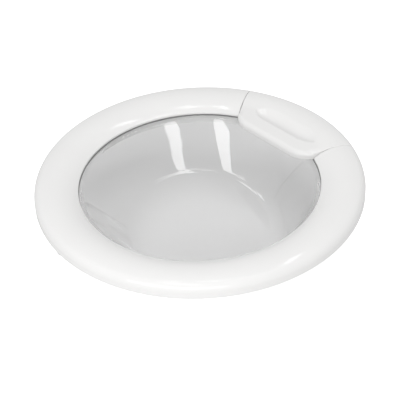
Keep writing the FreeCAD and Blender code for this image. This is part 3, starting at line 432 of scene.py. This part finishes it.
def handle_points(s):
    """The handle as one closed grid. Each column runs in plan from the rim, radially over the roll, then
    straight to the grip's front outline, over its rounded edge, down its flank and back underneath."""
    side_angle = s.seam_half_angle - s.seam_gap / s.ring_radius
    ray, begin, edge, front, normal = handle_columns(s, side_angle)
    outside, inside = handle_back(s)
    rows = [at_level(ray * radius, height) for radius, height in outside[:-1]]
    # From the crest down into the scoop.
    for part in np.linspace(0, 1, SCOOP_POINTS):
        plan = begin * (1 - part) + edge * part
        dip = scoop_height(s, *plan.T)
        rows.append(at_level(plan, soft_min(grip_top(s, side_angle, plan), dip, s.grip_blend / 2)))
    # Up the scoop's sharp edge, which is rounded a little.
    base, dipped, brim = grip_top(s, side_angle, edge), rows[-1][:, 2], len(rows)
    corner = np.minimum(s.scoop_round, (base - dipped) / 2)
    back = (front - edge) / np.linalg.norm(front - edge, axis=1, keepdims=True)
    for bend in np.linspace(0, math.pi / 2, BRIM_POINTS):
        plan = edge + back * (corner * (1 - math.cos(bend)))[:, None]
        rows.append(at_level(plan, base - corner * (1 - math.sin(bend))))
    brim_end, plain = len(rows), corner < SAME_POINT
    # Along the grip's top and round its front edge.
    foot, toe = -s.handle_drop, s.seam_round
    bend_radius = np.minimum(s.grip_round, ROUND_SHARE * (grip_top(s, side_angle, front) - foot))
    inner_edge, brink = rows[-1][:, :2], front + normal * bend_radius[:, None]
    for part in np.linspace(0, 1, TOP_POINTS)[1:-1]:
        plan = inner_edge * (1 - part) + brink * part
        rows.append(at_level(plan, grip_top(s, side_angle, plan)))
    crown = grip_top(s, side_angle, brink)
    for bend in np.linspace(0, math.pi / 2, FRONT_POINTS):
        plan = front + normal * (bend_radius * (1 - math.sin(bend)))[:, None]
        rows.append(at_level(plan, crown - bend_radius * (1 - math.cos(bend))))
    # Down the flank and round its lower edge.
    knee = rows[-1][:, 2]
    for part in np.linspace(0, 1, FLANK_POINTS)[1:]:
        rows.append(at_level(front, knee * (1 - part) + (foot + toe) * part))
    for bend in np.linspace(0, math.pi / 2, TOE_POINTS)[1:]:
        rows.append(at_level(front + normal * toe * (1 - math.cos(bend)), foot + toe * (1 - math.sin(bend))))
    # Back underneath to the rim.
    skin = len(rows)
    under = front + normal * toe
    for part in np.linspace(0, 1, UNDER_POINTS)[1:]:
        plan = under * (1 - part) + begin * part
        roof = dome_height(s, np.linalg.norm(plan, axis=1), s.front_wall)
        rows.append(at_level(plan, np.maximum(foot, roof)))
    rows += [at_level(ray * radius, height) for radius, height in inside]
    points = np.stack(rows)
    # The edges along the seams are rounded on the outside. Where the scoop has run out, the rows of its edge
    # lie on one point, so they all take the normal of the row before.
    drop = edge_drop(seam_distance(side_angle, points), s.seam_round)
    drop[skin:] = 0
    normals = grid_normals(points)
    normals[brim:brim_end, plain] = normals[brim - 1, plain]
    return points + normals * drop[..., None]


class DOOR_OT_handle(Operator):
    """Handle with its grip and finger scoop, one closed grid from seam to seam"""
    bl_idname = "door.handle"
    bl_label = "Handle"

    def execute(self, context):
        s = context.scene.door_sizes
        points = handle_points(s)
        rows, columns = points.shape[:2]
        faces = grid_faces(rows, columns, wrap_rows=True)
        faces += [[row * columns for row in range(rows)],
                  [row * columns + columns - 1 for row in range(rows)][::-1]]
        make_piece("pull_handle", "handle", gloss_white(context), lift(points, s), faces,
                   replaced=["handle"], sharp=50)
        return {"FINISHED"}


def bowl_surface(s, flange_level, rim_radius, floor_radius, centre, flare, fillet, turn, edge):
    """One side of the glass, from the flange's edge to the middle of the floor: for each angle a level
    run, the flare, a straight wall from the level rim circle to the slanted floor circle, the fillet and
    a run to the floor's middle."""
    ray = np.stack([np.cos(turn), np.sin(turn), np.zeros_like(turn)], axis=-1)
    tilt = s.bowl_floor_tilt
    spoke = np.stack([np.cos(turn), np.sin(turn) * math.cos(tilt), np.sin(turn) * math.sin(tilt)], axis=-1)
    rim = ray * rim_radius + np.array([0, 0, flange_level])
    corner = centre + spoke * floor_radius
    wall = (corner - rim) / np.linalg.norm(corner - rim, axis=-1, keepdims=True)
    upper = corner_arc(rim, ray, wall, flare, FLARE_POINTS)
    lower = corner_arc(corner, -wall, -spoke, fillet, FILLET_POINTS)
    start = ray * edge + np.array([0, 0, flange_level])
    middle = np.broadcast_to(centre, corner.shape)
    return np.concatenate([
        line(start, upper[:, 0], FLANGE_POINTS)[:, :-1],
        upper[:, :-1],
        line(upper[:, -1], lower[:, 0], WALL_POINTS)[:, :-1],
        lower[:, :-1],
        line(lower[:, -1], middle, FLOOR_POINTS)], axis=1)


class DOOR_OT_glass_bowl(Operator):
    """Glass bowl: an inner and an outer surface of level rim, straight wall and slanted floor, joined
    along the flange's edge"""
    bl_idname = "door.glass_bowl"
    bl_label = "Glass bowl"

    def execute(self, context):
        s = context.scene.door_sizes
        turn = np.linspace(0, 2 * math.pi, GLASS_COLUMNS, endpoint=False)
        tilt, wall = s.bowl_floor_tilt, s.glass_wall
        middle = np.array([0, -s.bowl_floor_shift, -s.bowl_floor_drop])
        below = middle + wall * np.array([0, math.sin(tilt), -math.cos(tilt)])
        inside = bowl_surface(s, -s.flange_drop, s.bowl_rim_radius, s.bowl_floor_radius, middle,
                              s.bowl_flare, s.bowl_fillet, turn, s.flange_radius)
        outside = bowl_surface(s, -s.flange_drop - wall, s.bowl_rim_radius + s.bowl_spread,
                               s.bowl_floor_radius + s.bowl_spread, below,
                               s.bowl_root, s.bowl_fillet + wall, turn, s.flange_radius)
        points = np.concatenate([inside[:, ::-1], outside], axis=1)
        rows, columns = points.shape[:2]
        make_piece("glass_bowl", "door", clear_glass(context), lift(points, s),
                   grid_faces(rows, columns, wrap_rows=True), replaced=["door_glass"])
        return {"FINISHED"}


def new_material(name):
    """A new material with its node tree and its shader."""
    material = bpy.data.materials.new(name)
    material.use_nodes = True
    return material, material.node_tree, material.node_tree.nodes["Principled BSDF"]


def node(tree, kind, values=None, **settings):
    """A new node of a kind with its settings, and with values on its input sockets."""
    made = tree.nodes.new(kind)
    for key, value in settings.items():
        setattr(made, key, value)
    for socket, value in (values or {}).items():
        made.inputs[socket].default_value = value
    return made


# Roughness that the darkest and the lightest streak of a metal differ by, and a number of mirrored turns
# between one and two.
STREAK_ROUGHNESS = 0.2
MIRRORED_ONCE = 1.5
SKIN_INPUTS = (("Colour", "NodeSocketColor"), ("Roughness", "NodeSocketFloat"))
SKIN_OUTPUTS = SKIN_INPUTS + (("Normal", "NodeSocketVector"),)


def skin_group(name, extra_inputs):
    """An empty group for a surface effect: it takes a colour, a roughness and inputs of its own, and gives
    a colour, a roughness and a normal. Its input, output and coordinate nodes come with it."""
    group = bpy.data.node_groups.new(name, "ShaderNodeTree")
    for way, sockets in (("INPUT", SKIN_INPUTS + extra_inputs), ("OUTPUT", SKIN_OUTPUTS)):
        for label, kind in sockets:
            group.interface.new_socket(name=label, in_out=way, socket_type=kind)
    return (group, node(group, "NodeGroupInput"), node(group, "NodeGroupOutput"),
            node(group, "ShaderNodeTexCoord"))


def vary_tone(group, given, out, mask, darkest, lightest):
    """Multiplies a group's colour by a tone between two limits that follows a mask."""
    tone = node(group, "ShaderNodeMapRange", {"To Min": darkest, "To Max": lightest})
    group.links.new(mask, tone.inputs["Value"])
    tint = node(group, "ShaderNodeMix", {"Factor": 1}, data_type="RGBA", blend_type="MULTIPLY")
    group.links.new(given.outputs["Colour"], tint.inputs["A"])
    group.links.new(tone.outputs["Result"], tint.inputs["B"])
    group.links.new(tint.outputs["Result"], out.inputs["Colour"])


def moulded_group():
    """Skin of a moulded plastic: a faint orange peel, a slow change of gloss and of tone."""
    found = bpy.data.node_groups.get("Moulded skin")
    if found:
        return found
    group, given, out, place = skin_group(
        "Moulded skin", (("Peel scale", "NodeSocketFloat"), ("Peel depth", "NodeSocketFloat")))
    links = group.links
    peel = node(group, "ShaderNodeTexNoise", {"Detail": 2})
    links.new(place.outputs["Object"], peel.inputs["Vector"])
    links.new(given.outputs["Peel scale"], peel.inputs["Scale"])
    slow = node(group, "ShaderNodeTexNoise", {"Scale": 9, "Detail": 3})
    links.new(place.outputs["Object"], slow.inputs["Vector"])
    vary_tone(group, given, out, slow.outputs["Fac"], 0.975, 1.025)
    gloss = node(group, "ShaderNodeMapRange", {"To Min": 0.85, "To Max": 1.15})
    links.new(slow.outputs["Fac"], gloss.inputs["Value"])
    rough = node(group, "ShaderNodeMath", operation="MULTIPLY")
    links.new(given.outputs["Roughness"], rough.inputs[0])
    links.new(gloss.outputs["Result"], rough.inputs[1])
    links.new(rough.outputs["Value"], out.inputs["Roughness"])
    bump = node(group, "ShaderNodeBump", {"Distance": 0.0005})
    links.new(given.outputs["Peel depth"], bump.inputs["Strength"])
    links.new(peel.outputs["Fac"], bump.inputs["Height"])
    links.new(bump.outputs["Normal"], out.inputs["Normal"])
    return group


def metal_group():
    """Worked metal: fine streaks along one direction that change tone, gloss and the normal a little."""
    found = bpy.data.node_groups.get("Worked metal")
    if found:
        return found
    group, given, out, place = skin_group("Worked metal", (("Stretch", "NodeSocketVector"),))
    links = group.links
    scale = node(group, "ShaderNodeVectorMath", operation="MULTIPLY")
    links.new(place.outputs["Object"], scale.inputs[0])
    links.new(given.outputs["Stretch"], scale.inputs[1])
    streak = node(group, "ShaderNodeTexNoise", {"Detail": 4, "Scale": 1})
    links.new(scale.outputs["Vector"], streak.inputs["Vector"])
    vary_tone(group, given, out, streak.outputs["Fac"], 0.8, 1.1)
    rough = node(group, "ShaderNodeMath", {1: STREAK_ROUGHNESS}, operation="MULTIPLY_ADD")
    links.new(streak.outputs["Fac"], rough.inputs[0])
    links.new(given.outputs["Roughness"], rough.inputs[2])
    links.new(rough.outputs["Value"], out.inputs["Roughness"])
    bump = node(group, "ShaderNodeBump", {"Strength": 0.15, "Distance": 0.0003})
    links.new(streak.outputs["Fac"], bump.inputs["Height"])
    links.new(bump.outputs["Normal"], out.inputs["Normal"])
    return group


def skinned(name, group, values, plain):
    """A material whose colour, roughness and normal come from a shared group with values of its own. What
    is plain, the same all over, goes on the shader itself."""
    found = bpy.data.materials.get(name)
    if found:
        return found
    material, tree, shader = new_material(name)
    skin = node(tree, "ShaderNodeGroup", values, node_tree=group)
    for socket, value in plain.items():
        shader.inputs[socket].default_value = value
    for given, taken in (("Colour", "Base Color"), ("Roughness", "Roughness"), ("Normal", "Normal")):
        tree.links.new(skin.outputs[given], shader.inputs[taken])
    return material


def moulded(name, tone, roughness, peel_scale, peel_depth):
    """A moulded plastic or rubber with the shared skin."""
    values = {"Colour": tone, "Roughness": roughness, "Peel scale": peel_scale, "Peel depth": peel_depth}
    return skinned(name, moulded_group(), values, {"Specular IOR Level": 0.42})


def worked_metal(name, tone, roughness, stretch):
    """A metal with the shared streaks."""
    values = {"Colour": tone, "Roughness": roughness, "Stretch": stretch}
    return skinned(name, metal_group(), values, {"Metallic": 1})


def gloss_white(context):
    """Finish of the front ring and the handle."""
    return moulded("Gloss white", context.scene.door_finishes.white_gloss,
                   roughness=0.09, peel_scale=260, peel_depth=0.03)


def bright_steel(context):
    """Finish of the pins, the clips and the hook."""
    return worked_metal("Bright steel", context.scene.door_finishes.bright_steel,
                        roughness=0.18, stretch=(900, 60, 900))


def clear_glass(context):
    """Clear pressed glass with a slow ripple and a faint film. A ray that was mirrored more than once is
    let straight out of the glass, and the shadow follows the slant: light passes the glass where it meets
    it squarely, and is held back where it only grazes it."""
    material, tree, shader = new_material("Clear glass")
    links = tree.links
    shader.inputs["Base Color"].default_value = context.scene.door_finishes.clear_glass
    shader.inputs["Transmission Weight"].default_value = 1
    shader.inputs["IOR"].default_value = 1.5
    place = node(tree, "ShaderNodeTexCoord")
    ripple = node(tree, "ShaderNodeTexNoise", {"Scale": 14})
    links.new(place.outputs["Object"], ripple.inputs["Vector"])
    bump = node(tree, "ShaderNodeBump", {"Strength": 0.12, "Distance": 0.002})
    links.new(ripple.outputs["Fac"], bump.inputs["Height"])
    links.new(bump.outputs["Normal"], shader.inputs["Normal"])
    film = node(tree, "ShaderNodeMapRange", {"To Min": 0.0, "To Max": 0.03})
    links.new(ripple.outputs["Fac"], film.inputs["Value"])
    links.new(film.outputs["Result"], shader.inputs["Roughness"])
    path = node(tree, "ShaderNodeLightPath")
    deep = node(tree, "ShaderNodeMath", {1: MIRRORED_ONCE}, operation="GREATER_THAN")
    links.new(path.outputs["Glossy Depth"], deep.inputs[0])
    let_out = node(tree, "ShaderNodeBsdfTransparent", {"Color": (0.92, 0.92, 0.92, 1)})
    body = node(tree, "ShaderNodeMixShader")
    links.new(deep.outputs["Value"], body.inputs["Fac"])
    links.new(shader.outputs["BSDF"], body.inputs[1])
    links.new(let_out.outputs["BSDF"], body.inputs[2])
    slant = node(tree, "ShaderNodeLayerWeight")
    pass_share = node(tree, "ShaderNodeMapRange", {"To Min": 1.0, "To Max": 0.2})
    links.new(slant.outputs["Facing"], pass_share.inputs["Value"])
    shadow = node(tree, "ShaderNodeBsdfTransparent")
    links.new(pass_share.outputs["Result"], shadow.inputs["Color"])
    mix = node(tree, "ShaderNodeMixShader")
    links.new(path.outputs["Is Shadow Ray"], mix.inputs["Fac"])
    links.new(body.outputs["Shader"], mix.inputs[1])
    links.new(shadow.outputs["BSDF"], mix.inputs[2])
    links.new(mix.outputs["Shader"], tree.nodes["Material Output"].inputs["Surface"])
    return material


def dress(nodes, material):
    """Gives CAD nodes a finish."""
    for name in nodes:
        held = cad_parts[name].data.materials
        held.clear()
        held.append(material)


class DOOR_OT_gasket(Operator):
    """Rubber channel on the glass flange; its dark tone is partly painted shade for the gap between ring and
    glass
    """
    bl_idname = "door.gasket"
    bl_label = "Glass gasket"

    def execute(self, context):
        rubber = moulded("Rubber", context.scene.door_finishes.grey_rubber,
                         roughness=0.6, peel_scale=900, peel_depth=0.3)
        dress(["glass_gasket"], rubber)
        return {"FINISHED"}


class DOOR_OT_rear_ring(Operator):
    """Rear ring with its posts, slots and screw holes"""
    bl_idname = "door.rear_ring"
    bl_label = "Rear ring"

    def execute(self, context):
        satin = moulded("Satin white", context.scene.door_finishes.white_satin,
                        roughness=0.4, peel_scale=700, peel_depth=0.2)
        dress(["inner_frame"], satin)
        return {"FINISHED"}


class DOOR_OT_hinge(Operator):
    """Hinge leaves, pin, clip and bushes, and the screws of leaf and rings"""
    bl_idname = "door.hinge"
    bl_label = "Hinge"

    def execute(self, context):
        tones = context.scene.door_finishes
        plated = worked_metal("Plated steel", tones.plated_steel, roughness=0.28, stretch=(60, 900, 60))
        dress(["hinge_door_leaf", "hinge_cabinet_leaf", "hinge_screws", "frame_screws"], plated)
        dress(["hinge_pin", "hinge_clip"], bright_steel(context))
        plastic = moulded("Grey plastic", tones.grey_plastic, roughness=0.45, peel_scale=900, peel_depth=0.2)
        dress(["hinge_bush_upper", "hinge_bush_lower"], plastic)
        return {"FINISHED"}


class DOOR_OT_latch(Operator):
    """Latch hook, handle pin with its clips, and both springs"""
    bl_idname = "door.latch"
    bl_label = "Latch"

    def execute(self, context):
        dress(["latch_hook", "handle_pin", "pin_clips"], bright_steel(context))
        sprung = worked_metal("Spring steel", context.scene.door_finishes.spring_steel,
                              roughness=0.25, stretch=(400, 400, 400))
        dress(["handle_spring", "hook_spring"], sprung)
        return {"FINISHED"}


CAMERA_AZIMUTH = math.radians(-41.3)
CAMERA_ELEVATION = math.radians(37.42)
CAMERA_ROLL = math.radians(-2.653)
CAMERA_DISTANCE = 1.8
CAMERA_LENS = 117.6
CAMERA_SHIFT = (0.00139, -0.04662)
CAMERA_CLIP = 20
FLOOR_LEVEL = -0.0005
FLOOR_REACH = 3.0
FLOOR_GLOW = 0.6
WORLD_FILL = 0.700
# The painted pool of light on the floor under the glass, a glow seen only through it: its middle, the radii
# between which it fades, and its strength.
PAINTED_POOL_MIDDLE = (0.03, 0.0, FLOOR_LEVEL)
PAINTED_POOL_INNER, PAINTED_POOL_OUTER = 0.07, 0.17
PAINTED_POOL_STRENGTH = 0.11


def axes_matrix(right, up, back, place):
    """A placement from three axes and a point."""
    return Matrix(((right.x, up.x, back.x, place.x), (right.y, up.y, back.y, place.y),
                   (right.z, up.z, back.z, place.z), (0, 0, 0, 1)))


def camera_axes():
    """Right, up and back directions of the photograph's camera."""
    right = Vector((math.cos(CAMERA_AZIMUTH), math.sin(CAMERA_AZIMUTH), 0))
    back = Vector((math.sin(CAMERA_AZIMUTH) * math.cos(CAMERA_ELEVATION),
                   -math.cos(CAMERA_AZIMUTH) * math.cos(CAMERA_ELEVATION), math.sin(CAMERA_ELEVATION)))
    up = back.cross(right)
    rolled = right * math.cos(CAMERA_ROLL) + up * math.sin(CAMERA_ROLL)
    return rolled, back.cross(rolled), back


SOFTBOXES = (
    # name, place, aim, direction of the long side, width, length and power; levels from the opening's edge
    ("softbox_left", (-0.559, -0.336, 1.246), (0.111, 0.067, -0.035), (0.069, -0.311, -0.058),
     0.23, 0.45, 1.27),
    ("softbox_right", (0.304, -0.420, 1.350), (0.056, 0.112, -0.030), (0.243, -0.106, -0.083),
     0.10, 0.50, 0.61),
    ("softbox_side", (0.640, -0.040, 1.295), (0.033, 0.085, -0.051), (0.236, 0.385, -0.071),
     0.08, 0.40, 0.62),
    ("softbox_back", (-0.070, 0.240, 1.420), (0.120, 0.040, -0.040), (-0.141, -0.045, 0.0),
     0.10, 0.22, 0.45),
    ("softbox_front", (-1.50, -0.94, 0.80), (0.0, 0.0, 0.0), (0.53, -0.85, 0.0), 0.7, 2.0, 11.5),
    ("softbox_top", (0.15, 0.08, 1.45), (0.10, 0.01, -0.07), (0.0, 1.0, 0.0), 0.20, 0.20, 0.5),
)


def add_softbox(name, place, aim, along, width, height, power):
    """An area lamp that looks from its place at an aim, with its long side along a direction."""
    lamp = bpy.data.lights.new(name, "AREA")
    lamp.shape = "RECTANGLE"
    lamp.size, lamp.size_y, lamp.energy = width, height, power
    box = bpy.data.objects.new(name, lamp)
    away = (Vector(place) - Vector(aim)).normalized()
    side = Vector(along).cross(away).normalized()
    box.matrix_world = axes_matrix(side, away.cross(side), away,
                                   Vector(place) + Vector((0, 0, OPENING_LEVEL)))
    bpy.context.scene.collection.objects.link(box)


def white_floor(context):
    """A pale matt floor that is lit like any surface and shows a little brighter to the eye. Through the
    glass it shows a painted pool of light, a glow that stands in for light the bowl would gather: a smooth
    step of the distance to its middle."""
    material, tree, shader = new_material("Pale floor")
    links = tree.links
    shader.inputs["Base Color"].default_value = context.scene.door_finishes.floor
    shader.inputs["Roughness"].default_value = 0.9
    shader.inputs["Specular IOR Level"].default_value = 0.0
    shader.inputs["Emission Color"].default_value = (1, 1, 1, 1)
    path = node(tree, "ShaderNodeLightPath")
    place = node(tree, "ShaderNodeTexCoord")
    # Painted pool of light: a glow that only rays through the glass see, strongest at its middle and fading
    # by a smooth step.
    apart = node(tree, "ShaderNodeVectorMath", {1: PAINTED_POOL_MIDDLE}, operation="DISTANCE")
    links.new(place.outputs["Object"], apart.inputs[0])
    painted_pool = node(tree, "ShaderNodeMapRange", {"From Min": PAINTED_POOL_INNER, "From Max": PAINTED_POOL_OUTER,
                                             "To Min": PAINTED_POOL_STRENGTH, "To Max": 0.0},
                interpolation_type="SMOOTHSTEP")
    links.new(apart.outputs["Value"], painted_pool.inputs["Value"])
    painted_pool_through_glass = node(tree, "ShaderNodeMath", operation="MULTIPLY")
    links.new(path.outputs["Is Transmission Ray"], painted_pool_through_glass.inputs[0])
    links.new(painted_pool.outputs["Result"], painted_pool_through_glass.inputs[1])
    # Emission: plain white for the camera, plus the painted pool of light for rays through the glass.
    share = node(tree, "ShaderNodeMath", {1: FLOOR_GLOW}, operation="MULTIPLY_ADD")
    links.new(path.outputs["Is Camera Ray"], share.inputs[0])
    links.new(painted_pool_through_glass.outputs["Value"], share.inputs[2])
    links.new(share.outputs["Value"], shader.inputs["Emission Strength"])
    return material


def add_floor(context):
    """A square of floor just under the door."""
    corners = [(x * FLOOR_REACH, y * FLOOR_REACH, FLOOR_LEVEL)
               for x, y in ((-1, -1), (1, -1), (1, 1), (-1, 1))]
    mesh = bpy.data.meshes.new("floor")
    mesh.from_pydata(corners, [], [(0, 1, 2, 3)])
    mesh.materials.append(white_floor(context))
    floor = bpy.data.objects.new("floor", mesh)
    context.scene.collection.objects.link(floor)


def white_world():
    """Even white light from all round. The camera sees it as plain white."""
    world = bpy.data.worlds.new("Studio")
    bpy.context.scene.world = world
    world.use_nodes = True
    tree = world.node_tree
    shade = tree.nodes["Background"]
    shade.inputs["Color"].default_value = (1, 1, 1, 1)
    path = node(tree, "ShaderNodeLightPath")
    strength = node(tree, "ShaderNodeMapRange", {"To Min": WORLD_FILL, "To Max": 1.0})
    tree.links.new(path.outputs["Is Camera Ray"], strength.inputs["Value"])
    tree.links.new(strength.outputs["Result"], shade.inputs["Strength"])


def add_camera(scene):
    """The photograph's camera, aimed at the middle of the opening."""
    lens = bpy.data.cameras.new("camera")
    lens.lens = CAMERA_LENS
    lens.shift_x, lens.shift_y = CAMERA_SHIFT
    lens.clip_end = CAMERA_CLIP
    camera = bpy.data.objects.new("camera", lens)
    right, up, back = camera_axes()
    place = Vector((0, 0, OPENING_LEVEL)) + back * CAMERA_DISTANCE
    camera.matrix_world = axes_matrix(right, up, back, place)
    scene.collection.objects.link(camera)
    scene.camera = camera


class DOOR_OT_stage(Operator):
    """Floor, lamps and the photograph's camera"""
    bl_idname = "door.stage"
    bl_label = "Stage"

    def execute(self, context):
        context.scene.view_settings.view_transform = "Standard"
        add_floor(context)
        white_world()
        for lamp in SOFTBOXES:
            add_softbox(*lamp)
        add_camera(context.scene)
        return {"FINISHED"}


STEPS = ("stage", "front_ring", "handle", "glass_bowl", "gasket", "rear_ring", "hinge", "latch")


class DOOR_PT_pieces(Panel):
    """Lists the door's pieces in the sidebar"""
    bl_idname = "DOOR_PT_pieces"
    bl_label = "Washing machine door"
    bl_space_type = "VIEW_3D"
    bl_region_type = "UI"
    bl_category = "Door"

    def draw(self, context):
        for step in STEPS:
            self.layout.operator("door." + step)


CLASSES = (DoorSizes, DoorFinishes, DOOR_OT_front_ring, DOOR_OT_handle, DOOR_OT_glass_bowl, DOOR_OT_gasket,
           DOOR_OT_rear_ring, DOOR_OT_hinge, DOOR_OT_latch, DOOR_OT_stage, DOOR_PT_pieces)


def register():
    """Registers the classes and hangs the sizes and finishes on the scene."""
    for made in CLASSES:
        bpy.utils.register_class(made)
    bpy.types.Scene.door_sizes = PointerProperty(type=DoorSizes)
    bpy.types.Scene.door_finishes = PointerProperty(type=DoorFinishes)


def unregister():
    """Takes back what register did."""
    del bpy.types.Scene.door_finishes
    del bpy.types.Scene.door_sizes
    for made in reversed(CLASSES):
        bpy.utils.unregister_class(made)


def main():
    """Makes the stage and all pieces in order."""
    register()
    for step in STEPS:
        getattr(bpy.ops.door, step)()


if __name__ == "__main__":
    main()
